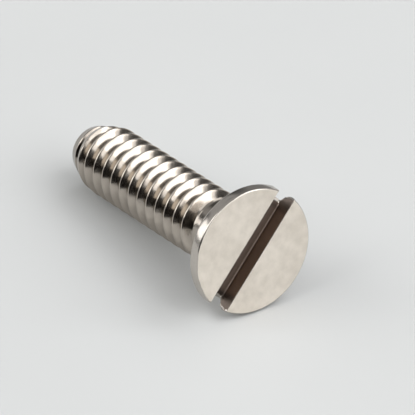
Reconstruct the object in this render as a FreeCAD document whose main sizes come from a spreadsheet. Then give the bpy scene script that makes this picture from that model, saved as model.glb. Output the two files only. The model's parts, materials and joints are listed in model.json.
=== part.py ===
import FreeCAD, Part
import math
import os
import Sketcher

# Slotted flat head machine screw: headed from wire, slot sawn across the head, thread rolled.
# The body is drawn about its own axis, with the face of the head at z = 0 and the point at +z.
# Its placement then lays it on the ground, on the rim of the head and on one thread crest.

doc = FreeCAD.newDocument("machine_screw")

# Driving dimensions, in millimetres, degrees and turns
SIZES = [
    ("overall_length", 19.05, "face of the head to the point"),
    ("head_angle", 82, "full angle of the countersunk cone"),
    ("rim_diameter", 8.54, "straight band round the head"),
    ("rim_band_height", 0.60, "height of the straight band"),
    ("rim_bevel_width", 0.11, "broken edge of the face, measured across"),
    ("rim_bevel_height", 0.10, "broken edge of the face, measured along the axis"),
    ("neck_step", 0.31, "plain neck below the crests of the thread, on the radius"),
    ("neck_length", 0.60, "from the end of the cone to where the crests begin to rise"),
    ("neck_fillet", 0.45, "radius where the cone runs into the neck"),
    ("thread_diameter", 4.72, "over the crests"),
    ("thread_pitch", 1.0583, "24 turns to the inch"),
    ("thread_angle", 60, "between the two flanks"),
    ("crest_flat", 0.13, "width of the flat crest"),
    ("root_flat", 0.178, "width of the flat root"),
    ("thread_rise", 0.80, "length over which the crests rise to full size"),
    ("first_groove", 0.379, "from the start of that rise to the middle of the first full groove"),
    ("run_out_turns", 0.5, "turns in which the groove climbs out at the neck"),
    ("point_length", 2.05, "taper at the end"),
    ("point_step", 0.70, "end of the taper below the crests, on the radius"),
    ("slot_width", 1.48, "driver slot"),
    ("slot_depth", 1.08, "face to the level floor of the slot"),
    ("slot_end_length", 0.90, "from the rim in to where the floor begins to fall"),
    ("slot_end_angle", 45, "fall of the floor at both ends"),
    ("slot_edge_radius", 0.20, "broken edges where the walls of the slot leave the head"),
    ("slot_offset", 0.04, "middle of the slot from the middle of the head, as it was sawn"),
    ("slot_turn", 127.7, "slot against the start of the first full groove"),
    ("lying_turn", 95, "start of the first full groove against straight down, as it lies"),
]

sheet = doc.addObject("Spreadsheet::Sheet", "Sizes")
for row, (alias, value, meaning) in enumerate(SIZES, start=1):
    sheet.set(f"A{row}", alias)
    sheet.set(f"B{row}", str(value))
    sheet.set(f"C{row}", meaning)
    sheet.setAlias(f"B{row}", alias)
doc.recompute()

# Cutting tools reach this far past the metal
CLEARANCE = 0.3
# A feature that takes away less than this, in cubic millimetres, has missed
LEAST_CUT = 0.01
# Two lengths this close are the same
SAME = 1e-6

# Rules worked out from the driving dimensions, which the sketches share
RIM = "Sizes.rim_diameter / 2"
CREST = "Sizes.thread_diameter / 2"
NECK = "(Sizes.thread_diameter / 2 - Sizes.neck_step)"
POINT = "(Sizes.thread_diameter / 2 - Sizes.point_step)"
LENGTH = "Sizes.overall_length"
BAND_END = "(Sizes.rim_bevel_height + Sizes.rim_band_height)"
CONE_END = f"({BAND_END} + ({RIM} - {NECK}) / tan(Sizes.head_angle * 0.5deg))"
RISE_START = f"({CONE_END} + Sizes.neck_length)"
RISE_END = f"({RISE_START} + Sizes.thread_rise)"
TAPER_START = f"({LENGTH} - Sizes.point_length)"
GROOVE_MIDDLE = f"({RISE_START} + Sizes.first_groove)"
HALF_TOP = "(Sizes.thread_pitch - Sizes.crest_flat) / 2"
HALF_ROOT = "Sizes.root_flat / 2"
THREAD_DEPTH = f"({HALF_TOP} - {HALF_ROOT}) / tan(Sizes.thread_angle * 0.5deg)"
RUN_OUT = "(Sizes.thread_pitch * Sizes.run_out_turns)"
SLOT_REACH = f"({RIM} + {CLEARANCE})"
SLOT_LEVEL = f"({RIM} - Sizes.slot_end_length)"
SLOT_FALLEN = f"(Sizes.slot_depth + ({SLOT_REACH} - {SLOT_LEVEL}) * tan(Sizes.slot_end_angle * 1deg))"


def size(alias):
    """The value of one driving dimension."""
    return float(sheet.get(alias))


def held_at(sketch, label):
    """The value of one named distance in a sketch."""
    return float(sketch.getDatum(label).Value)


def plane_of(body, role):
    """The origin plane of the body with this role."""
    for feature in body.Origin.OriginFeatures:
        if feature.Role == role:
            return feature
    raise RuntimeError("no plane " + role)


def new_sketch(body, name, corners):
    """A closed outline on the body's XZ plane, each corner tied to the origin by its two rules.

    A corner is a name and the rules for its distance across and along; None leaves it on that axis.
    The corners start evenly round a circle, and the named distances then put them in place.
    """
    sketch = body.newObject("Sketcher::SketchObject", name)
    sketch.AttachmentSupport = [(plane_of(body, "XZ_Plane"), "")]
    sketch.MapMode = "FlatFace"
    count = len(corners)
    start = [FreeCAD.Vector(math.cos(math.tau * i / count), math.sin(math.tau * i / count), 0)
             for i in range(count)]
    for i in range(count):
        sketch.addGeometry(Part.LineSegment(start[i], start[(i + 1) % count]), False)
    for i in range(count):
        sketch.addConstraint(Sketcher.Constraint("Coincident", i, 2, (i + 1) % count, 1))
    for i, (corner, across, along) in enumerate(corners):
        hold(sketch, i, corner + "_across", "DistanceX", across)
        hold(sketch, i, corner + "_along", "DistanceY", along)
    return sketch


def hold(sketch, line, label, kind, rule):
    """Hold the start of a line at a named distance from the origin, or on the axis where that is none."""
    if rule is None:
        # A sketch numbers its level axis -1 and its upright axis -2
        axis = -2 if kind == "DistanceX" else -1
        sketch.addConstraint(Sketcher.Constraint("PointOnObject", line, 1, axis))
        return
    number = sketch.addConstraint(Sketcher.Constraint(kind, -1, 1, line, 1, 1.0))
    sketch.renameConstraint(number, label)
    sketch.setExpression("Constraints." + label, rule)


def round_edges(shape, radius, height):
    """Names of the circular edges of this radius at this height."""
    names = []
    for number, edge in enumerate(shape.Edges, start=1):
        curve = edge.Curve
        if not isinstance(curve, Part.Circle):
            continue
        if abs(curve.Radius - radius) < SAME and abs(curve.Center.z - height) < SAME:
            names.append(f"Edge{number}")
    return names


def turn_blank(body):
    """The headed blank: half of its section turned about the axis, with a hollow under the head."""
    section = new_sketch(body, "BlankSection", [
        ("centre", None, None),
        ("face", f"{RIM} - Sizes.rim_bevel_width", None),
        ("bevel", RIM, "Sizes.rim_bevel_height"),
        ("band", RIM, BAND_END),
        ("cone", NECK, CONE_END),
        ("neck", NECK, RISE_START),
        ("rise", CREST, RISE_END),
        ("taper", CREST, TAPER_START),
        ("point", POINT, LENGTH),
        ("end", None, LENGTH),
    ])
    blank = body.newObject("PartDesign::Revolution", "Blank")
    blank.Profile = section
    blank.ReferenceAxis = (section, ["V_Axis"])
    blank.Angle = 360
    doc.recompute()

    under_head = round_edges(blank.Shape, held_at(section, "cone_across"), held_at(section, "cone_along"))
    hollow = body.newObject("PartDesign::Fillet", "NeckHollow")
    hollow.Base = (blank, under_head)
    hollow.setExpression("Radius", "Sizes.neck_fillet")
    doc.recompute()
    return section, hollow


def cut_groove(body, name, height_rule):
    """A right hand helical groove of the thread's section, starting at the first full groove."""
    outline = new_sketch(body, name + "Section", [
        ("root_near", f"{CREST} - {THREAD_DEPTH}", f"{GROOVE_MIDDLE} - {HALF_ROOT}"),
        ("crest_near", CREST, f"{GROOVE_MIDDLE} - {HALF_TOP}"),
        ("outside_near", f"{CREST} + {CLEARANCE}", f"{GROOVE_MIDDLE} - {HALF_TOP}"),
        ("outside_far", f"{CREST} + {CLEARANCE}", f"{GROOVE_MIDDLE} + {HALF_TOP}"),
        ("crest_far", CREST, f"{GROOVE_MIDDLE} + {HALF_TOP}"),
        ("root_far", f"{CREST} - {THREAD_DEPTH}", f"{GROOVE_MIDDLE} + {HALF_ROOT}"),
    ])
    groove = body.newObject("PartDesign::SubtractiveHelix", name)
    groove.Profile = outline
    groove.ReferenceAxis = (outline, ["V_Axis"])
    groove.Mode = "pitch-height-angle"
    groove.setExpression("Pitch", "Sizes.thread_pitch")
    groove.setExpression("Height", height_rule)
    return outline, groove


def roll_thread(body):
    """The full thread out past the point, and the run-out that climbs clear at the neck."""
    outline, thread = cut_groove(body, "Thread", f"{LENGTH} - {GROOVE_MIDDLE} + Sizes.thread_pitch")
    doc.recompute()
    same_outline, run_out = cut_groove(body, "RunOut", RUN_OUT)
    run_out.setExpression("Angle", f"atan({THREAD_DEPTH} / {RUN_OUT})")
    run_out.Reversed = True
    doc.recompute()
    return outline, thread, run_out


def saw_slot(body):
    """The driver slot, straight through, with a level floor that falls away at both ends."""
    side_view = new_sketch(body, "SlotSide", [
        ("level_far", SLOT_LEVEL, "Sizes.slot_depth"),
        ("fallen_far", SLOT_REACH, SLOT_FALLEN),
        ("above_far", SLOT_REACH, f"-{CLEARANCE}"),
        ("above_near", f"-{SLOT_REACH}", f"-{CLEARANCE}"),
        ("fallen_near", f"-{SLOT_REACH}", SLOT_FALLEN),
        ("level_near", f"-{SLOT_LEVEL}", "Sizes.slot_depth"),
    ])
    about_axis = FreeCAD.Rotation(FreeCAD.Vector(0, 1, 0), size("slot_turn"))
    side_view.AttachmentOffset = FreeCAD.Placement(FreeCAD.Vector(0, 0, 0), about_axis)
    side_view.setExpression(".AttachmentOffset.Rotation.Angle", "Sizes.slot_turn * 1deg")
    side_view.setExpression(".AttachmentOffset.Base.x", "Sizes.slot_offset * sin(Sizes.slot_turn * 1deg)")
    side_view.setExpression(".AttachmentOffset.Base.z", "Sizes.slot_offset * cos(Sizes.slot_turn * 1deg)")
    slot = body.newObject("PartDesign::Pocket", "Slot")
    slot.Profile = side_view
    slot.Type = "Length"
    slot.Midplane = True
    slot.setExpression("Length", "Sizes.slot_width")
    doc.recompute()
    return slot


def slot_end_edges(shape, bevel_end, band_end):
    """Names of the edges in which the walls of the slot meet the band and the cone."""
    turn = math.radians(size("slot_turn"))
    across = FreeCAD.Vector(math.sin(turn), -math.cos(turn), 0)
    names = []
    for number, edge in enumerate(shape.Edges, start=1):
        ends = [vertex.Point for vertex in edge.Vertexes]
        from_middle = [abs(end.dot(across) - size("slot_offset")) for end in ends]
        on_wall = all(abs(distance - size("slot_width") / 2) < SAME for distance in from_middle)
        heights = sorted(end.z for end in ends)
        if on_wall and heights[0] < band_end + SAME and heights[-1] > bevel_end + SAME:
            names.append(f"Edge{number}")
    return names


def break_slot_ends(body, section, slot):
    """Round the edges in which the walls of the slot leave the head."""
    ends = body.newObject("PartDesign::Fillet", "SlotEnds")
    bevel_end = held_at(section, "bevel_along")
    band_end = held_at(section, "band_along")
    ends.Base = (slot, slot_end_edges(slot.Shape, bevel_end, band_end))
    ends.setExpression("Radius", "Sizes.slot_edge_radius")
    doc.recompute()
    return ends


def lying_tilt(section, groove):
    """Angle at which the edge of the rim and the first crest to meet the ground carry the screw.

    Each crest is tried at both edges of its flat, at full size or on the taper.
    """
    rim = held_at(section, "band_across")
    band_end = held_at(section, "band_along")
    full = held_at(section, "taper_across")
    taper_start = held_at(section, "taper_along")
    fall = size("point_step") / size("point_length")
    groove_middle = (held_at(groove, "root_near_along") + held_at(groove, "root_far_along")) / 2
    turns_to_bottom = 0.5 - size("lying_turn") / 360
    crest = groove_middle + size("thread_pitch") * turns_to_bottom
    rises = []
    while crest < size("overall_length"):
        for edge in (crest - size("crest_flat") / 2, crest + size("crest_flat") / 2):
            crest_radius = min(full, full - (edge - taper_start) * fall)
            rises.append((rim - crest_radius) / (edge - band_end))
        crest += size("thread_pitch")
    return math.atan(min(rises))


def lay_down(body, section, tilt):
    """Put the middle of the lying screw over the origin, with its lowest points at z = 0."""
    rim = held_at(section, "band_across")
    face_height = held_at(section, "band_along") * math.sin(tilt) + rim * math.cos(tilt)
    rear = -held_at(section, "face_across") * math.sin(tilt)
    front = size("overall_length") * math.cos(tilt) + held_at(section, "point_across") * math.sin(tilt)
    turned = FreeCAD.Rotation(FreeCAD.Vector(0, 0, 1), size("lying_turn"))
    laid = FreeCAD.Rotation(FreeCAD.Vector(0, 1, 0), 90 + math.degrees(tilt))
    face_centre = FreeCAD.Vector(-(rear + front) / 2, 0, face_height)
    body.Placement = FreeCAD.Placement(face_centre, laid * turned)
    doc.recompute()


def check(body, stages):
    """Stop if a feature failed or cut nothing, or if the screw isn't one sound solid."""
    for item in doc.Objects:
        if "Invalid" in item.State or "Error" in item.State:
            raise RuntimeError(item.Name + " failed")
    for before, after in zip(stages, stages[1:]):
        if before.Shape.Volume - after.Shape.Volume < LEAST_CUT:
            raise RuntimeError(after.Name + " cut nothing")
    if body.Shape.isNull() or not body.Shape.isValid() or len(body.Shape.Solids) != 1:
        raise RuntimeError(body.Label + " is not one sound solid")


screw = doc.addObject("PartDesign::Body", "Screw")
screw.Label = "screw"
blank_section, blank = turn_blank(screw)
groove_section, thread, run_out = roll_thread(screw)
slot = saw_slot(screw)
slot_ends = break_slot_ends(screw, blank_section, slot)
tilt = lying_tilt(blank_section, groove_section)
lay_down(screw, blank_section, tilt)
check(screw, [blank, thread, run_out, slot, slot_ends])

os.makedirs("parts", exist_ok=True)
screw.Shape.exportStep(f"parts/{screw.Label}.step")
print(f"{screw.Label}: {screw.Shape.Volume:.2f} cubic mm, lying at {math.degrees(tilt):.3f} degrees")
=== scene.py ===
import json
import math

import bmesh
import bpy
import numpy as np
from bpy.props import FloatProperty, FloatVectorProperty, IntProperty, PointerProperty
from mathutils import Matrix, Vector


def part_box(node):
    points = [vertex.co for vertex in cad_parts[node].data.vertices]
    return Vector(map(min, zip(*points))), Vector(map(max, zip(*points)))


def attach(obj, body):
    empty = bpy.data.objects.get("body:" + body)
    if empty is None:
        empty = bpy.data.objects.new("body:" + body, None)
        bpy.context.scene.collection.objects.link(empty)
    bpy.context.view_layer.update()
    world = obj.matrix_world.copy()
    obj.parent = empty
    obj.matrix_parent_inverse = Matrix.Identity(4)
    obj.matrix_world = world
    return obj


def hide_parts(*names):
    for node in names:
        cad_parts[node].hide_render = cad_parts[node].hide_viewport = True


bl_info = {
    "name": "Slotted flat head machine screw",
    "version": (1, 0, 0),
    "blender": (4, 5, 0),
    "location": "3D View > Sidebar > Screw",
    "description": "Builds a bright slotted flat head machine screw, lying on a pale floor",
    "category": "Add Mesh",
}

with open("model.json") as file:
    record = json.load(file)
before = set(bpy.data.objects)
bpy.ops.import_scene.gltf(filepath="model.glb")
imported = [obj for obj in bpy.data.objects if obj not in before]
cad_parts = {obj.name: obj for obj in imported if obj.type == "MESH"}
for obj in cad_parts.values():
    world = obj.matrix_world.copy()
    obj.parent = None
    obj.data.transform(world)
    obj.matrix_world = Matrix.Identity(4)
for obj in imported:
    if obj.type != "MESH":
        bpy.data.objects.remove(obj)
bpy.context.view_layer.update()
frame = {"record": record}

NODE = "screw"
BODY = "root"

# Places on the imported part: the way the axis points, the middle of the face, the direction straight
# down the face as it lies, and the direction across the slot
MOUNTS = {mount["name"]: mount for mount in frame["record"]["mounts"]}
POINTING = -Vector(MOUNTS["driver_slot"]["axis"]).normalized()
ON_FACE = Vector(MOUNTS["head_face"]["pos_m"])
FACE_MIDDLE = Vector(MOUNTS["countersink"]["pos_m"])
FACE_MIDDLE += POINTING * (ON_FACE - FACE_MIDDLE).dot(POINTING)
DOWN = (Vector((0, 0, -1)) + POINTING * POINTING.z).normalized()
ACROSS_SLOT = (ON_FACE - FACE_MIDDLE).normalized()
SLOT_MIDDLE = Vector(MOUNTS["driver_slot"]["pos_m"])
SLOT_TURN = math.atan2(ACROSS_SLOT.dot(POINTING.cross(DOWN)), ACROSS_SLOT.dot(DOWN)) - math.pi / 2
FLOOR_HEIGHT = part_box(NODE)[0].z


class ScrewSizes(bpy.types.PropertyGroup):
    """Sizes of the turned blank and the rolled thread, all measured from the face of the head."""

    overall_length: FloatProperty(
        name="Length", description="Face of the head to the point",
        default=0.01905, unit="LENGTH")
    rim_radius: FloatProperty(
        name="Rim radius", description="Radius of the straight band round the head",
        default=0.00427, unit="LENGTH")
    bevel_width: FloatProperty(
        name="Bevel width", description="Broken edge of the face, across",
        default=0.00008, unit="LENGTH")
    bevel_height: FloatProperty(
        name="Bevel height", description="Broken edge of the face, along the axis",
        default=0.00010, unit="LENGTH")
    band_height: FloatProperty(
        name="Band height", description="Straight band between the bevel and the cone",
        default=0.00060, unit="LENGTH")
    band_crown: FloatProperty(
        name="Band crown", description="How far the band falls back toward the face",
        default=0.00004, unit="LENGTH")
    band_round: FloatProperty(
        name="Band rounding", description="Radius between the band and the cone",
        default=0.00008, unit="LENGTH")
    head_angle: FloatProperty(
        name="Head angle", description="Full angle of the countersunk cone",
        default=math.radians(82), subtype="ANGLE")
    neck_radius: FloatProperty(
        name="Neck radius", description="Plain neck between the head and the thread",
        default=0.00205, unit="LENGTH")
    neck_hollow: FloatProperty(
        name="Neck hollow", description="Radius where the cone runs into the neck",
        default=0.00045, unit="LENGTH")
    crest_radius: FloatProperty(
        name="Crest radius", description="Radius over the crests of the thread",
        default=0.00236, unit="LENGTH")
    unevenness: FloatProperty(
        name="Unevenness", description="How far the rolled crests and grooves waver",
        default=0.000003, unit="LENGTH")
    root_radius: FloatProperty(
        name="Root radius", description="Radius at the bottom of the thread",
        default=0.00171, unit="LENGTH")
    pitch: FloatProperty(
        name="Pitch", description="Distance from crest to crest",
        default=0.0010583, unit="LENGTH")
    crest_flat: FloatProperty(
        name="Crest flat", description="Width of the flat crest",
        default=0.00013, unit="LENGTH")
    thread_angle: FloatProperty(
        name="Thread angle", description="Angle between the two flanks",
        default=math.radians(60), subtype="ANGLE")
    rise_start: FloatProperty(
        name="Crest rise start", description="Where the crests begin to rise from the neck",
        default=0.003854, unit="LENGTH")
    rise_length: FloatProperty(
        name="Crest rise length", description="Length over which the crests rise to full size",
        default=0.00080, unit="LENGTH")
    first_groove: FloatProperty(
        name="First groove", description="Middle of the first groove of full depth",
        default=0.004233, unit="LENGTH")
    first_groove_turn: FloatProperty(
        name="First groove turn", description="Turn, from straight down, at which that groove starts",
        default=math.radians(95), subtype="ANGLE")
    run_out: FloatProperty(
        name="Run-out", description="Turn in which the groove climbs out at the neck",
        default=math.radians(180), subtype="ANGLE")
    point_length: FloatProperty(
        name="Point length", description="Taper at the end",
        default=0.00205, unit="LENGTH")
    point_step: FloatProperty(
        name="Point step", description="End of the taper below the crests, on the radius",
        default=0.00070, unit="LENGTH")
    end_round: FloatProperty(
        name="End rounding", description="Radius at the edge of the end face",
        default=0.00005, unit="LENGTH")
    columns: IntProperty(
        name="Columns", description="Facets round one turn", default=144, min=24)


class SlotSizes(bpy.types.PropertyGroup):
    """Sizes of the sawn driver slot and its broken edges."""

    width: FloatProperty(
        name="Slot width", description="Wall to wall", default=0.00148, unit="LENGTH")
    depth: FloatProperty(
        name="Slot depth", description="Face to the level floor",
        default=(SLOT_MIDDLE - FACE_MIDDLE).dot(POINTING), unit="LENGTH")
    turn: FloatProperty(
        name="Slot turn", description="Direction of the slot from straight down, round the axis",
        default=SLOT_TURN, subtype="ANGLE")
    offset: FloatProperty(
        name="Slot offset", description="Middle of the slot from the middle of the head",
        default=(SLOT_MIDDLE - FACE_MIDDLE).dot(ACROSS_SLOT), unit="LENGTH")
    level_length: FloatProperty(
        name="Level length", description="Middle of the slot to where its floor begins to fall",
        default=0.00337, unit="LENGTH")
    fall: FloatProperty(
        name="Fall", description="Angle at which the floor falls at both ends",
        default=math.radians(45), subtype="ANGLE")
    fall_start: FloatProperty(
        name="Fall start", description="Length over which the floor turns into its fall",
        default=0.00034, unit="LENGTH")
    corner_round: FloatProperty(
        name="Corner rounding", description="Radius between the walls and the floor",
        default=0.00007, unit="LENGTH")
    lip_round: FloatProperty(
        name="Lip rounding", description="Radius along the lips", default=0.00003, unit="LENGTH")
    exit_round: FloatProperty(
        name="Exit rounding", description="Radius where the slot runs out through the rim",
        default=0.00015, unit="LENGTH")


class Finish(bpy.types.PropertyGroup):
    """Colours and polish of the metal."""

    rolled_colour: FloatVectorProperty(
        name="Head metal", description="Bright metal of the rim and the cone",
        subtype="COLOR", size=3, min=0, max=1, default=(0.56, 0.52, 0.475))
    thread_colour: FloatVectorProperty(
        name="Rolled metal", description="Bright metal of the rolled thread",
        subtype="COLOR", size=3, min=0, max=1, default=(0.49, 0.44, 0.385))
    face_colour: FloatVectorProperty(
        name="Face metal", description="Fine matt metal of the face",
        subtype="COLOR", size=3, min=0, max=1, default=(0.735, 0.68, 0.61))
    slot_colour: FloatVectorProperty(
        name="Slot metal", description="Sawn metal inside the slot",
        subtype="COLOR", size=3, min=0, max=1, default=(0.44, 0.355, 0.30))
    rolled_roughness: FloatProperty(
        name="Rolled roughness", description="Roughness of the thread and the rim",
        default=0.16, min=0, max=1)
    face_roughness: FloatProperty(
        name="Face roughness", description="Roughness of the face", default=0.46, min=0, max=1)
    slot_roughness: FloatProperty(
        name="Slot roughness", description="Roughness inside the slot", default=0.32, min=0, max=1)


class Studio(bpy.types.PropertyGroup):
    """The pale floor, the lights round it and the camera."""

    floor_colour: FloatVectorProperty(
        name="Floor", description="Pale matt floor",
        subtype="COLOR", size=3, min=0, max=1, default=(0.625, 0.635, 0.635))
    floor_radius: FloatProperty(
        name="Floor radius", description="Radius of the round floor", default=1.5, unit="LENGTH")
    lamp_distance: FloatProperty(
        name="Lamp distance", description="Every lamp from the screw", default=0.8, unit="LENGTH")
    light_level: FloatProperty(
        name="Light level", description="Scales every lamp and the room together",
        default=0.59, min=0)
    lens: FloatProperty(
        name="Lens", description="Focal length in millimetres", default=520.5)
    distance: FloatProperty(
        name="Camera distance", description="Camera to the middle of the face",
        default=0.37823, unit="LENGTH")


def settings():
    """The groups of sizes, colours and levels on the scene."""
    return bpy.context.scene.screw


def lying_place():
    """The matrix that lays the screw down: its axis to the part's axis, its x to the ground."""
    place = Matrix((DOWN, POINTING.cross(DOWN), POINTING)).transposed().to_4x4()
    place.translation = FACE_MIDDLE
    return place


# Curves that the shapes share

def smooth_lower(first, second, blend):
    """The lower of two arrays, with the change from one to the other rounded over the blend."""
    low = np.minimum(first, second)
    return low - blend * np.log1p(np.exp(-np.abs(first - second) / blend))


def smooth_step(value):
    """0 up to 0, 1 from 1 on, and a smooth rise between them."""
    share = np.clip(value, 0, 1)
    return share * share * (3 - 2 * share)


def round_over(gap, radius):
    """How far an edge of this radius stands back, at a gap from where it would be sharp.

    Past the edge it goes on falling back at 45 degrees.
    """
    inside = np.clip(gap, 0, radius)
    return radius - np.sqrt(radius ** 2 - (radius - inside) ** 2) + np.clip(-gap, 0, None)


def waver(value, seed, waves=5):
    """A smooth wavering between about -1 and 1: a sum of sines of rising order, out of step by the seed."""
    total = np.zeros_like(value, dtype=float)
    for order in range(1, waves + 1):
        total += np.sin(value * order * 1.7 + seed * order * order * 2.3) / order
    return total / 1.8


# The thread

# Waves of the crests' unevenness for each metre along the screw
WAVES_ALONG = 1500
# Thread depths that the groove climbs in its run-out before it is held, well clear of the neck
RUN_OUT_CLIMB = 4


def thread_blend(sizes):
    """Blend where the crests turn into the flanks. The roots have twice this."""
    return sizes.crest_flat * 0.20


def thread_depth(sizes):
    """Crest to root, on the radius."""
    return sizes.crest_radius - sizes.root_radius


def thread_radius(sizes, along, turn):
    """Radius of the neck and the rolled thread, at distances from the face and turns from straight down."""
    rise = smooth_step((along - sizes.rise_start) / sizes.rise_length)
    taper_start = sizes.overall_length - sizes.point_length
    taper = np.clip(along - taper_start, 0, None) * sizes.point_step / sizes.point_length
    blank = sizes.neck_radius + (sizes.crest_radius - sizes.neck_radius) * rise - taper
    wave = along * WAVES_ALONG + 3 * np.cos(2 * turn) + 2 * np.sin(3 * turn)
    blank += sizes.unevenness * rise * waver(wave, 0.7, 3)

    steepness = 1 / math.tan(sizes.thread_angle / 2)
    depth = thread_depth(sizes)
    half_root = (sizes.pitch - sizes.crest_flat) / 2 - depth / steepness
    groove_at = sizes.first_groove + sizes.pitch * (turn - sizes.first_groove_turn) / math.tau
    number = np.round((along - groove_at) / sizes.pitch)
    middle = groove_at + number * sizes.pitch + sizes.unevenness * waver(wave * 1.3, 1.9, 3)
    flank = (np.abs(along - middle) - half_root) * steepness
    bottom = np.zeros_like(flank)
    groove = sizes.root_radius - smooth_lower(bottom, -flank, 2 * thread_blend(sizes))
    past_start = (middle - sizes.first_groove) / sizes.pitch * math.tau
    groove += depth * np.clip(-past_start / sizes.run_out, 0, RUN_OUT_CLIMB)
    return smooth_lower(blank, groove, thread_blend(sizes))


def groove_rows(sizes):
    """Distances from the middle of a groove at which the mesh has a row, close together at the corners."""
    half = sizes.pitch / 2
    root_corner = half - sizes.crest_flat / 2 - thread_depth(sizes) * math.tan(sizes.thread_angle / 2)
    crest_corner = half - sizes.crest_flat / 2
    close = sizes.crest_flat / 4
    rows = np.concatenate([
        np.linspace(0, root_corner + close, 5)[:-1],
        np.linspace(root_corner + close, crest_corner - close, 6)[:-1],
        np.linspace(crest_corner - close, half, 7),
    ])
    return np.concatenate([-rows[:0:-1], rows])[1:]


# Rings and rows of points about the screw's axis

# Rings in each stretch of the head, and at the edge of the end face
BEVEL_RINGS = 9
BAND_RINGS = 9
EDGE_RINGS = 5
CONE_RINGS = 10
HOLLOW_RINGS = 7
END_RINGS = 6

# The bevel wavers round the head, most about one turn from straight down. In one dent it reaches further
# down the band: its turn, the turn over which it fades, and its added length in bevel heights
BEVEL_WAVER = 0.16
BEVEL_WAVES = 9
WAVERING_TURN = math.radians(132)
DENT_TURN = math.radians(157)
DENT_FADE = math.radians(8)
DENT_REACH = 2.6


def column_turns(sizes):
    """Turn of each column of points from straight down."""
    return np.arange(sizes.columns) * math.tau / sizes.columns


def ring(sizes, along, radius):
    """One ring of points about the axis. Along and radius are numbers or one value for each column."""
    turn = column_turns(sizes)
    points = np.empty((sizes.columns, 3))
    points[:, 0] = radius * np.cos(turn)
    points[:, 1] = radius * np.sin(turn)
    points[:, 2] = along
    return points


def band_end(sizes):
    """Face to the sharp corner where the band would meet the cone."""
    return sizes.bevel_height + sizes.band_height


def band_edge_reach(sizes):
    """How far the rounded edge at the end of the band reaches from that corner."""
    return sizes.band_round * math.tan(sizes.head_angle / 4)


def bevel_and_band_rings(sizes):
    """Rings of the bevel, a quarter of an uneven ellipse, and of the crowned band."""
    turn = column_turns(sizes)
    swell = 0.35 + smooth_step(np.cos(turn - WAVERING_TURN) * 2)
    uneven = 1 + BEVEL_WAVER * waver(turn * BEVEL_WAVES, 0.4) * swell
    longer = 1 + DENT_REACH * smooth_step(1.6 - np.abs(turn - DENT_TURN) / DENT_FADE)
    bevel_end = sizes.bevel_height * longer * uneven
    rings = []
    for angle in np.linspace(0, math.pi / 2, BEVEL_RINGS):
        across = sizes.bevel_width * uneven * (1 - math.sin(angle))
        radius = sizes.rim_radius - sizes.band_crown - across
        rings.append(ring(sizes, bevel_end * (1 - math.cos(angle)), radius))
    edge_start = band_end(sizes) - band_edge_reach(sizes)
    for share in np.linspace(0, 1, BAND_RINGS)[1:-1]:
        along = bevel_end + share * (edge_start - bevel_end)
        rings.append(ring(sizes, along, sizes.rim_radius - sizes.band_crown * (1 - share) ** 2))
    return rings


def cone_rings(sizes):
    """Rings of the rounded edge, the cone and the neck hollow, and the place where the hollow ends."""
    slope = math.tan(sizes.head_angle / 2)
    cone_turn = sizes.head_angle / 2
    edge_start = band_end(sizes) - band_edge_reach(sizes)
    rings = []
    for angle in np.linspace(0, cone_turn, EDGE_RINGS):
        along = edge_start + sizes.band_round * math.sin(angle)
        rings.append(ring(sizes, along, sizes.rim_radius - sizes.band_round * (1 - math.cos(angle))))
    cone_start = edge_start + sizes.band_round * math.sin(cone_turn)
    cone_end = band_end(sizes) + (sizes.rim_radius - sizes.neck_radius) / slope
    hollow_reach = sizes.neck_hollow * math.tan(cone_turn / 2)
    hollow_start = cone_end - hollow_reach * math.cos(cone_turn)
    for along in np.linspace(cone_start, hollow_start, CONE_RINGS)[1:]:
        rings.append(ring(sizes, along, sizes.rim_radius - (along - band_end(sizes)) * slope))
    for angle in np.linspace(cone_turn, 0, HOLLOW_RINGS)[1:]:
        along = cone_end + hollow_reach - sizes.neck_hollow * math.sin(angle)
        rings.append(ring(sizes, along, sizes.neck_radius + sizes.neck_hollow * (1 - math.cos(angle))))
    return rings, cone_end + hollow_reach


def thread_rows(sizes, start, end):
    """Rows that follow the helix from the neck to the end, and how many of them make one pitch."""
    turn = column_turns(sizes)
    offsets = groove_rows(sizes)
    groove_at_zero = sizes.first_groove - sizes.pitch * sizes.first_groove_turn / math.tau
    first = math.floor((start - groove_at_zero) / sizes.pitch) - 2
    last = math.ceil((end - groove_at_zero) / sizes.pitch) + 1
    rows = []
    for number in range(first, last + 1):
        for offset in offsets:
            along = groove_at_zero + number * sizes.pitch + offset + sizes.pitch * turn / math.tau
            along = np.clip(along, start, end)
            rows.append(ring(sizes, along, thread_radius(sizes, along, turn)))
    return rows, len(offsets)


def end_rings(sizes, start):
    """Rings of the rounded edge of the end face, after the last row of the thread."""
    turn = column_turns(sizes)
    rings = []
    for angle in np.linspace(0, math.pi / 2, END_RINGS):
        along = start + sizes.end_round * math.sin(angle)
        radius = thread_radius(sizes, np.full(sizes.columns, along), turn)
        rings.append(ring(sizes, along, radius - sizes.end_round * (1 - math.cos(angle))))
    return rings


# Meshes

def ring_faces(count, columns, first):
    """Faces between rings that close on themselves, for point numbers starting at first."""
    faces = []
    for row in range(count - 1):
        here = first + row * columns
        below = here + columns
        for column in range(columns):
            after = (column + 1) % columns
            faces.append((here + column, here + after, below + after, below + column))
    return faces


def helix_faces(count, columns, per_pitch, first):
    """Faces between helical rows: past the last column each row goes on as the row one pitch further."""
    faces = []
    last = columns - 1
    for row in range(count - 1):
        here = first + row * columns
        below = here + columns
        for column in range(last):
            faces.append((here + column, here + column + 1, below + column + 1, below + column))
        onward = first + min(row + per_pitch, count - 1) * columns
        beyond = first + min(row + per_pitch + 1, count - 1) * columns
        faces.append((here + last, onward, beyond, below + last))
    return faces


def end_faces(columns, total):
    """The faces that close the first and the last ring."""
    return [tuple(reversed(range(columns))), tuple(range(total - columns, total))]


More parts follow.
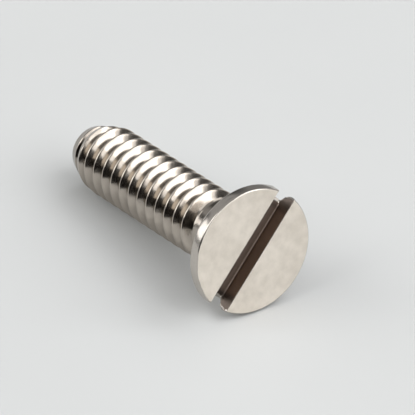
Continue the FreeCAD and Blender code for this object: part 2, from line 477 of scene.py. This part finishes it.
def closed_mesh(name, points, faces, same=0.0):
    """A mesh with its normals outward, in which points nearer than same are made one."""
    mesh = bpy.data.meshes.new(name)
    mesh.from_pydata(points, [], faces)
    work = bmesh.new()
    work.from_mesh(mesh)
    if same:
        bmesh.ops.remove_doubles(work, verts=work.verts, dist=same)
        bmesh.ops.dissolve_degenerate(work, edges=work.edges, dist=same)
    bmesh.ops.recalc_face_normals(work, faces=work.faces)
    work.to_mesh(mesh)
    work.free()
    return mesh


def blank_mesh(sizes):
    """The whole screw before its slot is sawn, as one closed mesh about its own axis."""
    columns = sizes.columns
    cone, thread_start = cone_rings(sizes)
    head = bevel_and_band_rings(sizes) + cone
    thread_end = sizes.overall_length - sizes.end_round
    thread, per_pitch = thread_rows(sizes, thread_start, thread_end)
    end = end_rings(sizes, thread_end)
    points = np.concatenate(head + thread + end)
    faces = ring_faces(len(head), columns, 0)
    faces += helix_faces(len(thread), columns, per_pitch, len(head) * columns)
    faces += ring_faces(len(end), columns, (len(head) + len(thread)) * columns)
    faces += end_faces(columns, len(points))
    return closed_mesh("screw blank", points.tolist(), faces, sizes.crest_flat / 300)


# The slot

# Points in each stretch of the saw's outline, and its shares of the rim's radius: sparse places up to the
# first share, and close ones from the second on, where the floor falls and the walls leave the head
LIP_POINTS = 5
WALL_POINTS = 13
CORNER_POINTS = 5
SPARSE_TO = 0.75
SPARSE_PLACES = 41
CLOSE_FROM = 0.76
CLOSE_PLACES = 34
# How unevenly the exits and the lips are rounded, as shares of their radius
EXIT_WAVER = 0.75
LIP_WAVER = 0.3


def surface_gap(sizes, along_slot, across, height):
    """How far inside the metal's outer surface a point of the head lies, along the slot."""
    outer = sizes.rim_radius - np.clip(height - band_end(sizes), 0, None) * math.tan(sizes.head_angle / 2)
    return np.sqrt(np.clip(outer ** 2 - across ** 2, 0, None)) - np.abs(along_slot)


def slot_floor(slot, along_slot):
    """Depth of the slot's floor at one place along it, with a rounded start of the fall."""
    past = abs(along_slot) - slot.level_length + slot.fall_start / 2
    curved = min(max(0.0, past), slot.fall_start)
    straight = max(0.0, past - curved)
    return slot.depth + math.tan(slot.fall) * (curved ** 2 / (2 * slot.fall_start) + straight)


def slot_section(sizes, slot, along_slot):
    """Outline of the saw's path at one place along the slot: across and depth, from lip to lip."""
    floor = slot_floor(slot, along_slot)
    radius = slot.corner_round
    heights = np.concatenate([
        -slot.lip_round * np.array([1.2, 0.35]),
        slot.lip_round * (1 - np.cos(np.linspace(0.35, math.pi / 2, LIP_POINTS))),
        np.linspace(slot.lip_round, floor - radius, WALL_POINTS)[1:],
    ])
    walls = []
    for side in (-1, 1):
        gap = surface_gap(sizes, along_slot, slot.width / 2, heights)
        wave = heights / slot.depth * 6 + side + 2 * np.sign(along_slot)
        away = slot.width / 2 + round_over(gap, slot.exit_round * (1 + EXIT_WAVER * waver(wave, 1.3 + side)))
        lip_wave = waver(along_slot * 9000 + side, 2.1)
        away += round_over(heights, slot.lip_round * (1 + LIP_WAVER * lip_wave))
        walls.append(side * away)
    left = walls[0][-1] + radius
    right = walls[1][-1] - radius
    corner = np.linspace(0, math.pi / 2, CORNER_POINTS)
    outline = list(zip(walls[0], heights))
    outline += [(left - radius * math.cos(a), floor - radius * (1 - math.sin(a))) for a in corner[1:]]
    outline += [(right + radius * math.sin(a), floor - radius * (1 - math.cos(a))) for a in corner[:-1]]
    outline += list(zip(walls[1][::-1], heights[::-1]))
    return outline


def saw_mesh(sizes, slot):
    """The metal that the saw takes out, as a closed mesh that reaches clear of the head."""
    reach = sizes.rim_radius + 3 * slot.lip_round
    middle = np.linspace(-SPARSE_TO, SPARSE_TO, SPARSE_PLACES) * sizes.rim_radius
    ends = np.linspace(CLOSE_FROM, reach / sizes.rim_radius, CLOSE_PLACES) * sizes.rim_radius
    places = np.concatenate([-ends[::-1], middle, ends])
    top = -slot.depth / 2
    points = []
    for place in places:
        outline = slot_section(sizes, slot, place)
        outline = [(outline[0][0], top)] + outline + [(outline[-1][0], top)]
        points += [(place, across, height) for across, height in outline]
    count = len(points) // len(places)
    faces = ring_faces(len(places), count, 0) + end_faces(count, len(points))
    mesh = closed_mesh("saw path", points, faces)
    mesh.transform(Matrix.Rotation(slot.turn, 4, "Z") @ Matrix.Translation((0, slot.offset, 0)))
    return mesh


def apply_modifiers(piece):
    """Make the piece's modifiers part of its mesh."""
    bpy.context.view_layer.update()
    shown = piece.evaluated_get(bpy.context.evaluated_depsgraph_get())
    piece.data = bpy.data.meshes.new_from_object(shown)
    piece.modifiers.clear()


def cut(piece, tool_mesh):
    """Cut the tool's volume out of the piece for good."""
    tool = bpy.data.objects.new("saw path", tool_mesh)
    bpy.context.scene.collection.objects.link(tool)
    modifier = piece.modifiers.new("slot", "BOOLEAN")
    modifier.operation = "DIFFERENCE"
    modifier.solver = "EXACT"
    modifier.object = tool
    before = len(piece.data.polygons)
    apply_modifiers(piece)
    bpy.data.objects.remove(tool)
    if len(piece.data.polygons) <= before:
        raise RuntimeError("the slot wasn't cut")


# Edges sharper than this stay sharp
SHARP_ANGLE = math.radians(32)


def shade(piece, sharp_angle):
    """Smooth shading that keeps edges sharper than this angle, and large flats flat."""
    piece.data.shade_smooth()
    piece.data.set_sharp_from_angle(angle=sharp_angle)
    modifier = piece.modifiers.new("weighted", "WEIGHTED_NORMAL")
    modifier.mode = "FACE_AREA"
    modifier.weight = 60
    modifier.keep_sharp = True
    apply_modifiers(piece)


# Materials. Noise scales are waves in a metre, and bump distances are metres

class NodeMaker:
    """Short ways to add and join the nodes of one material or world."""

    def __init__(self, tree):
        self.tree = tree
        tree.nodes.clear()

    def add(self, kind, **values):
        """A node of this kind, with its own settings given by name."""
        node = self.tree.nodes.new(kind)
        for name, value in values.items():
            setattr(node, name, value)
        return node

    def link(self, source, target):
        """Join two sockets."""
        self.tree.links.new(source, target)

    def fill(self, socket, value):
        """Join a socket's value to an input, or set the input to a number or a colour."""
        if isinstance(value, bpy.types.NodeSocket):
            self.link(value, socket)
        elif isinstance(value, (int, float)):
            socket.default_value = value
        else:
            socket.default_value = (*value, 1)

    def math(self, operation, *values, clamp=False):
        """A math node's result, from sockets or numbers."""
        node = self.add("ShaderNodeMath", operation=operation, use_clamp=clamp)
        for socket, value in zip(node.inputs, values):
            self.fill(socket, value)
        return node.outputs[0]

    def vector(self, *parts):
        """A vector from the sockets of its parts, 0 where one is left out."""
        node = self.add("ShaderNodeCombineXYZ")
        for part, socket in zip(parts, node.inputs):
            self.link(part, socket)
        return node.outputs[0]

    def parts(self, vector):
        """The sockets of a vector's three parts."""
        node = self.add("ShaderNodeSeparateXYZ")
        self.link(vector, node.inputs[0])
        return node.outputs[:3]

    def dot(self, vector, axis):
        """How far a vector reaches along a constant axis."""
        node = self.add("ShaderNodeVectorMath", operation="DOT_PRODUCT")
        self.link(vector, node.inputs[0])
        node.inputs[1].default_value = axis
        return node.outputs["Value"]

    def length(self, vector):
        """The length of a vector."""
        node = self.add("ShaderNodeVectorMath", operation="LENGTH")
        self.link(vector, node.inputs[0])
        return node.outputs["Value"]

    def ramp_between(self, value, low, high, to_low=0.0, to_high=1.0):
        """The value, smoothly taken from between low and high to between two others."""
        node = self.add("ShaderNodeMapRange", interpolation_type="SMOOTHSTEP")
        self.link(value, node.inputs["Value"])
        node.inputs["From Min"].default_value = low
        node.inputs["From Max"].default_value = high
        node.inputs["To Min"].default_value = to_low
        node.inputs["To Max"].default_value = to_high
        return node.outputs["Result"]

    def noise(self, vector, scale, detail=2.0, roughness=0.5):
        """Noise of this scale at a vector."""
        node = self.add("ShaderNodeTexNoise")
        self.link(vector, node.inputs["Vector"])
        node.inputs["Scale"].default_value = scale
        node.inputs["Detail"].default_value = detail
        node.inputs["Roughness"].default_value = roughness
        return node.outputs["Fac"]

    def mix(self, share, first, second, blend="MIX"):
        """A colour between two, each a socket or a colour."""
        node = self.add("ShaderNodeMix", data_type="RGBA", blend_type=blend)
        # The node has one set of sockets for each kind of data, and these are the colours'
        for number, value in ((0, share), (6, first), (7, second)):
            self.fill(node.inputs[number], value)
        return node.outputs[2]

    def bump(self, height, distance, shader):
        """Drive the shader's normal with a height times the distance in metres."""
        node = self.add("ShaderNodeBump")
        node.inputs["Strength"].default_value = 1.0
        node.inputs["Distance"].default_value = distance
        self.link(height, node.inputs["Height"])
        self.link(node.outputs[0], shader.inputs["Normal"])


def shader_material(name, colour, roughness):
    """A material of one shader with this colour and roughness, its node maker and the shader."""
    material = bpy.data.materials.new(name)
    material.use_nodes = True
    make = NodeMaker(material.node_tree)
    shader = make.add("ShaderNodeBsdfPrincipled")
    shader.inputs["Base Color"].default_value = (*colour, 1)
    shader.inputs["Roughness"].default_value = roughness
    output = make.add("ShaderNodeOutputMaterial")
    make.link(shader.outputs[0], output.inputs["Surface"])
    return material, make, shader


def metal(name, colour, roughness, fill):
    """A metal with this colour and roughness; fill adds the nodes that vary them."""
    material, make, shader = shader_material(name, colour, roughness)
    shader.inputs["Metallic"].default_value = 1.0
    fill(make, shader, tuple(colour), roughness)
    return material


def screw_place(make):
    """The shaded point in the screw's own frame: its x to the ground and its z down its axis."""
    own_frame = lying_place()
    from_face = make.add("ShaderNodeVectorMath", operation="SUBTRACT")
    make.link(make.add("ShaderNodeTexCoord").outputs["Object"], from_face.inputs[0])
    from_face.inputs[1].default_value = own_frame.translation
    axes = own_frame.to_3x3().transposed()
    return make.vector(*(make.dot(from_face.outputs[0], axis) for axis in axes))


def fill_rolled(make, shader, colour, roughness):
    """Burnished metal: another tint on the thread, faint patches, and painted shade that darkens the grooves
    toward their roots.
    """
    sizes = settings().sizes
    place = screw_place(make)
    x, y, z = make.parts(place)
    patches = make.noise(place, 900, 3)
    streaks = make.noise(place, 4200, 2)
    on_thread = make.ramp_between(z, sizes.rise_start - sizes.rise_length, sizes.rise_start)
    tint = make.mix(on_thread, colour, tuple(settings().finish.thread_colour))
    radius = make.length(make.vector(x, y))
    # Painted shade: the metal darkens with the radius, from the crests down to 0.70 at the roots of the
    # grooves, and partly on the neck as well
    groove = make.ramp_between(radius, sizes.root_radius, sizes.crest_radius, 0.70, 1.0)
    # The faint patches are the metal's own tone; the groove share is painted shade
    patches_and_groove_shade = make.math("MULTIPLY", make.math("MULTIPLY_ADD", patches, 0.22, 0.82), groove)
    make.link(make.mix(1.0, tint, patches_and_groove_shade, "MULTIPLY"), shader.inputs["Base Color"])
    make.link(make.math("MULTIPLY_ADD", streaks, 0.12, roughness - 0.06), shader.inputs["Roughness"])
    make.bump(patches, 0.000004, shader)


def fill_face(make, shader, colour, roughness):
    """Fine matt metal with soft mottling and faint specks."""
    place = screw_place(make)
    mottle = make.noise(place, 1500, 4, 0.6)
    cloud = make.noise(place, 380, 2)
    share = make.math("MULTIPLY_ADD", cloud, 0.5, make.math("MULTIPLY", mottle, 0.5))
    darker = (colour[0] * 0.87, colour[1] * 0.86, colour[2] * 0.84)
    lighter = tuple(min(1.0, part * 1.10) for part in colour)
    mottled = make.mix(make.ramp_between(share, 0.25, 0.75), darker, lighter)
    make.link(mottled, shader.inputs["Base Color"])
    make.link(make.math("MULTIPLY_ADD", mottle, 0.16, roughness - 0.08), shader.inputs["Roughness"])
    make.bump(mottle, 0.000006, shader)


# Painted shade darkens the slot's metal where its floor falls: fully so this far past the level floor's end,
# and not at all this far before it
END_SHADE_PAST = 0.0001
END_SHADE_BEFORE = 0.0005


def fill_slot(make, shader, colour, roughness):
    """Sawn metal, streaked along the slot, with painted shade that darkens it low down and at its two ends.
    """
    slot = settings().slot
    place = screw_place(make)
    slot_axes = Matrix.Rotation(slot.turn, 3, "Z").transposed()
    along, across, depth = (make.dot(place, axis) for axis in slot_axes)
    drawn_out = make.vector(make.math("MULTIPLY", along, 0.12), across, depth)
    streaks = make.noise(drawn_out, 9000, 3)
    cloud = make.noise(place, 700, 2)
    # Painted shade: the metal darkens toward the floor of the slot, deep in the recess
    low = make.ramp_between(depth, 0.75 * slot.depth, 0.98 * slot.depth, 0.0, 0.8)
    outward = make.math("ABSOLUTE", along)
    # Painted shade: the metal darkens at both ends of the slot, where the floor falls away
    ends = make.ramp_between(outward, slot.level_length - END_SHADE_BEFORE, slot.level_length + END_SHADE_PAST)
    share = make.math("MULTIPLY_ADD", cloud, 0.5, low, clamp=True)
    # Lighter and darker copies of the metal, mixed by faint cloud and by the painted shade low down; the
    # darkest copy is the painted shade at the ends
    lighter, darker, end_shade = (tuple(part * level for part in colour) for level in (1.25, 0.62, 0.38))
    sawn = make.mix(ends, make.mix(share, lighter, darker), end_shade)
    make.link(sawn, shader.inputs["Base Color"])
    make.link(make.math("MULTIPLY_ADD", streaks, 0.20, roughness - 0.10), shader.inputs["Roughness"])
    make.bump(streaks, 0.000005, shader)


ROLLED, FACE, SAWN = range(3)


def assign_finishes(piece, slot):
    """Give the face, the slot and the rest of the metal their materials."""
    finish = settings().finish
    piece.data.materials.clear()
    for material in (
            metal("rolled metal", finish.rolled_colour, finish.rolled_roughness, fill_rolled),
            metal("face metal", finish.face_colour, finish.face_roughness, fill_face),
            metal("slot metal", finish.slot_colour, finish.slot_roughness, fill_slot)):
        piece.data.materials.append(material)
    to_slot = Matrix.Rotation(-slot.turn, 3, "Z")
    hair = slot.lip_round / 30
    slot_bottom = slot.depth + slot.fall_start / 4
    for face in piece.data.polygons:
        middle = face.center
        across = abs((to_slot @ middle).y - slot.offset)
        face.material_index = ROLLED
        if middle.z < hair:
            face.material_index = FACE
        elif across < slot.width / 2 + hair and middle.z < slot_bottom:
            face.material_index = SAWN


class SCREW_OT_build_screw(bpy.types.Operator):
    """Build the screw: the blank with its rolled thread, the sawn slot and the finishes"""

    bl_idname = "screw.build_screw"
    bl_label = "Build the screw"

    def execute(self, context):
        sizes = settings().sizes
        slot = settings().slot
        piece = bpy.data.objects.new("machine_screw", blank_mesh(sizes))
        context.scene.collection.objects.link(piece)
        cut(piece, saw_mesh(sizes, slot))
        assign_finishes(piece, slot)
        shade(piece, SHARP_ANGLE)
        piece.data.transform(lying_place())
        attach(piece, BODY)
        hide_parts(NODE)
        return {"FINISHED"}


# The stage. Directions are azimuth and elevation in degrees, from +X toward +Y

# Each softbox: its direction, how wide and high it looks in degrees, its brightness and its colour
WHITE = (1, 1, 1)
SOFTBOXES = {
    "softbox front": ((196, 19), (52, 38), 3.4, WHITE),
    "softbox above": ((212, 48), (54, 36), 3.1, WHITE),
    "softbox top": ((268, 57), (60, 28), 2.0, WHITE),
    "softbox over camera": ((158, 66), (34, 20), 1.8, WHITE),
    "softbox edge": ((233, 33), (20, 20), 2.2, WHITE),
    "softbox side": ((75, 42), (44, 34), 4.4, (1, 1, 0.98)),
    "softbox low": ((43, 18), (20, 20), 3.2, WHITE),
    "softbox back": ((280, 11), (40, 22), 1.6, WHITE),
    "softbox far": ((0, 9), (44, 18), 1.3, WHITE),
}

# The room is grey and paler overhead. Each soft place in it: its direction, the angles from there up to
# which it is full and at which it is gone, and its colour. The last is the dark side, by the camera
ROOM_GREY = (0.48, 0.48, 0.48)
OVERHEAD = (0.85, 0.85, 0.85)
ROOM_PLACES = (
    ((35, 34), 12, 48, (0.80, 0.80, 0.80)),
    ((27, 21), 4, 12, (0.20, 0.20, 0.20)),
    ((244, 9), 5, 14, (0.16, 0.16, 0.16)),
    ((342, 28), 5, 16, (0.20, 0.20, 0.20)),
    ((122, 5), 36, 52, (0.012, 0.009, 0.007)),
)

# The camera as it was fitted: the middle of the face, right and down from the middle of the picture, as
# shares of the distance, its elevation, and the screw's axis as it runs in the picture
FACE_RIGHT = 2.8817 / 378.23
FACE_DOWN = 2.7757 / 378.23
CAMERA_ELEVATION = math.radians(32.26)
AXIS_RIGHT = -0.54219
AXIS_DOWN = -0.34430


def direction(azimuth, elevation):
    """The unit vector toward an azimuth and elevation in degrees."""
    flat = math.cos(math.radians(elevation))
    return Vector((flat * math.cos(math.radians(azimuth)),
                   flat * math.sin(math.radians(azimuth)),
                   math.sin(math.radians(elevation))))


def add_softbox(studio, name, place, spread, radiance, colour):
    """An area lamp that faces the screw from a direction, as wide and high as these angles."""
    width, height = (2 * studio.lamp_distance * math.tan(math.radians(angle) / 2) for angle in spread)
    data = bpy.data.lights.new(name, "AREA")
    data.shape = "RECTANGLE"
    data.size = width
    data.size_y = height
    data.energy = radiance * width * height * math.pi * studio.light_level
    data.color = colour
    lamp = bpy.data.objects.new(name, data)
    lamp.visible_camera = False
    bpy.context.scene.collection.objects.link(lamp)
    toward = direction(*place)
    lamp.location = toward * studio.lamp_distance
    lamp.rotation_euler = toward.to_track_quat("Z", "Y").to_euler()


def light_room(studio):
    """The room: grey, paler overhead, with soft pale and dark places."""
    world = bpy.data.worlds.new("room")
    bpy.context.scene.world = world
    world.use_nodes = True
    make = NodeMaker(world.node_tree)
    toward = make.add("ShaderNodeTexCoord").outputs["Generated"]
    overhead = make.ramp_between(make.parts(toward)[2], 0.6, 0.95)
    colour = make.mix(overhead, ROOM_GREY, OVERHEAD)
    for place, full, gone, place_colour in ROOM_PLACES:
        closeness = make.dot(toward, direction(*place))
        share = make.ramp_between(closeness, math.cos(math.radians(gone)), math.cos(math.radians(full)))
        colour = make.mix(share, colour, place_colour)
    background = make.add("ShaderNodeBackground")
    make.link(colour, background.inputs["Color"])
    background.inputs["Strength"].default_value = studio.light_level
    output = make.add("ShaderNodeOutputWorld")
    make.link(background.outputs[0], output.inputs["Surface"])


def lay_floor(studio):
    """A round matt floor that just meets the lowest points of the screw."""
    mesh = bpy.data.meshes.new("floor")
    disc = bmesh.new()
    bmesh.ops.create_circle(disc, cap_ends=True, segments=96, radius=studio.floor_radius)
    disc.to_mesh(mesh)
    disc.free()
    colour = tuple(studio.floor_colour)
    material, make, shader = shader_material("floor paper", colour, 0.9)
    shader.inputs["Specular IOR Level"].default_value = 0.1
    cloud = make.noise(make.add("ShaderNodeTexCoord").outputs["Object"], 90, 3)
    darker = tuple(part * 0.97 for part in colour)
    make.link(make.mix(cloud, darker, colour), shader.inputs["Base Color"])
    mesh.materials.append(material)
    floor = bpy.data.objects.new("floor", mesh)
    floor.location.z = FLOOR_HEIGHT
    bpy.context.scene.collection.objects.link(floor)


def view_matrix(studio):
    """Where the camera stands, from how the screw's axis and the upright look in the picture."""
    away = math.sqrt(1 - AXIS_RIGHT ** 2 - AXIS_DOWN ** 2)
    axis = Vector((AXIS_RIGHT, -AXIS_DOWN, -away)).normalized()
    upright = Vector((0, math.cos(CAMERA_ELEVATION), math.sin(CAMERA_ELEVATION)))
    along = (axis - upright * axis.dot(upright)).normalized()
    sideways = upright.cross(along)
    turn = Matrix((along, sideways, upright))
    back = math.sqrt(1 - FACE_RIGHT ** 2 - FACE_DOWN ** 2)
    face = Vector((FACE_RIGHT, -FACE_DOWN, -back)) * studio.distance
    matrix = turn.to_4x4()
    matrix.translation = FACE_MIDDLE - turn @ face
    return matrix


def set_camera(studio):
    """A long lens that looks down at the head, placed from the middle of the face."""
    data = bpy.data.cameras.new("camera")
    data.lens = studio.lens
    data.clip_start = 0.01
    camera = bpy.data.objects.new("camera", data)
    bpy.context.scene.collection.objects.link(camera)
    camera.matrix_world = view_matrix(studio)
    bpy.context.scene.camera = camera


class SCREW_OT_build_stage(bpy.types.Operator):
    """Build the stage: the pale floor, the lamps, the room and the camera"""

    bl_idname = "screw.build_stage"
    bl_label = "Build the stage"

    def execute(self, context):
        studio = settings().studio
        lay_floor(studio)
        light_room(studio)
        for name, values in SOFTBOXES.items():
            add_softbox(studio, name, *values)
        set_camera(studio)
        context.scene.view_settings.view_transform = "Standard"
        return {"FINISHED"}


class ScrewSettings(bpy.types.PropertyGroup):
    """Everything that a user may change."""

    sizes: PointerProperty(type=ScrewSizes, name="Screw", description="Sizes of the blank and thread")
    slot: PointerProperty(type=SlotSizes, name="Slot", description="Sizes of the driver slot")
    finish: PointerProperty(type=Finish, name="Finish", description="Colours and polish of the metal")
    studio: PointerProperty(type=Studio, name="Studio", description="Floor, lights and camera")


class SCREW_PT_sidebar(bpy.types.Panel):
    """Lists the sizes, colours and steps in the sidebar."""

    bl_label = "Screw"
    bl_idname = "SCREW_PT_sidebar"
    bl_space_type = "VIEW_3D"
    bl_region_type = "UI"
    bl_category = "Screw"

    def draw(self, context):
        for group in (settings().sizes, settings().slot, settings().finish, settings().studio):
            box = self.layout.box()
            for name in group.bl_rna.properties.keys():
                if name not in ("rna_type", "name"):
                    box.prop(group, name)
        self.layout.operator(SCREW_OT_build_screw.bl_idname)
        self.layout.operator(SCREW_OT_build_stage.bl_idname)


CLASSES = (
    ScrewSizes, SlotSizes, Finish, Studio, ScrewSettings,
    SCREW_OT_build_screw, SCREW_OT_build_stage, SCREW_PT_sidebar,
)


def register():
    """Add the classes, and the settings to the scene."""
    for item in CLASSES:
        bpy.utils.register_class(item)
    bpy.types.Scene.screw = PointerProperty(type=ScrewSettings)


def unregister():
    """Take the settings and the classes away again."""
    del bpy.types.Scene.screw
    for item in reversed(CLASSES):
        bpy.utils.unregister_class(item)


def main():
    """Build everything in order."""
    register()
    bpy.ops.screw.build_screw()
    bpy.ops.screw.build_stage()


if __name__ == "__main__":
    main()
